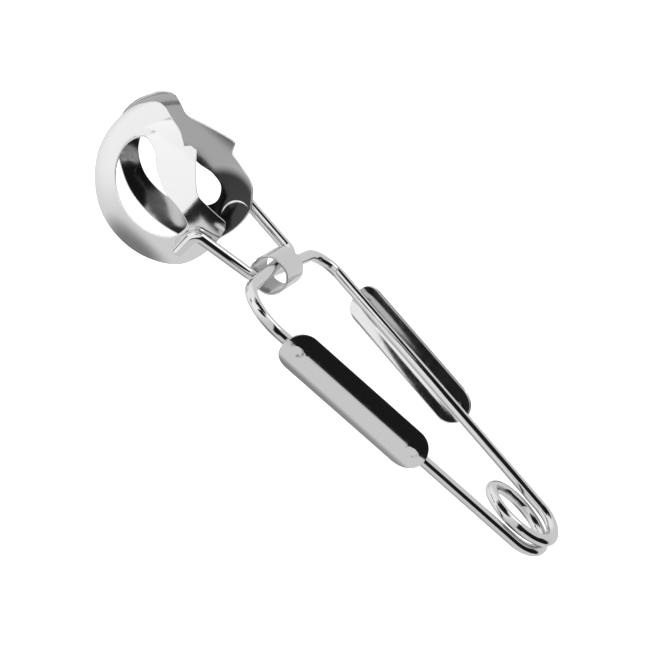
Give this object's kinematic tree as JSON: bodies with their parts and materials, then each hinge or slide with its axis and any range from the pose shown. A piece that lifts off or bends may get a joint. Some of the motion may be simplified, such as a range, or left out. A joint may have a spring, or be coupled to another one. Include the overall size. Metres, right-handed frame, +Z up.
{
  "type": "spring loaded snail tongs",
  "caption": "Crossed-wire tongs with a sprung coil, a collar, two grip plates and two cupped jaws; squeezing the grips opens the jaws.",
  "frame": {"origin": "axis of the spring coil, at the middle of its height", "axes": "+X along the tongs from the coil to the jaws, +Y to the left handle arm, +Z up along the coil's axis"},
  "size_m": [0.1685, 0.0839, 0.0341],
  "materials": {
    "wire": "bright drawn and plated wire",
    "collar": "polished sheet",
    "jaw": "polished stamped sheet",
    "grip": "polished stamped sheet",
    "weld": "bare weld metal under plating"
  },
  "bodies": {
    "spring": {"spring_coil": "wire"},
    "left_arm": {"left_arm_wire": "wire", "left_grip": "grip", "left_grip_welds": "weld", "right_jaw": "jaw", "right_jaw_weld": "weld"},
    "right_arm": {"right_arm_wire": "wire", "right_grip": "grip", "right_grip_welds": "weld", "left_jaw": "jaw", "left_jaw_weld": "weld"},
    "collar_ring": {"collar": "collar"}
  },
  "joints": [
    {"name": "left_arm_squeeze", "type": "hinge", "parent": "spring", "child": "left_arm", "pos_m": [0, 0, 0], "axis": [0, 0, -1], "range_deg": [0, 8], "stiffness_Nm_per_rad": 12, "springref_deg": -1.15},
    {"name": "right_arm_squeeze", "type": "hinge", "parent": "spring", "child": "right_arm", "pos_m": [0, 0, 0], "axis": [0, 0, 1], "range_deg": [0, 8], "stiffness_Nm_per_rad": 12, "springref_deg": -1.15},
    {"name": "collar_slip", "type": "slide", "parent": "spring", "child": "collar_ring", "axis": [0, 1, 0], "range_m": [-0.0025, 0.0025]}
  ],
  "couplings": [
    {"joint": "right_arm_squeeze", "follows": "left_arm_squeeze", "ratio": 1}
  ]
}
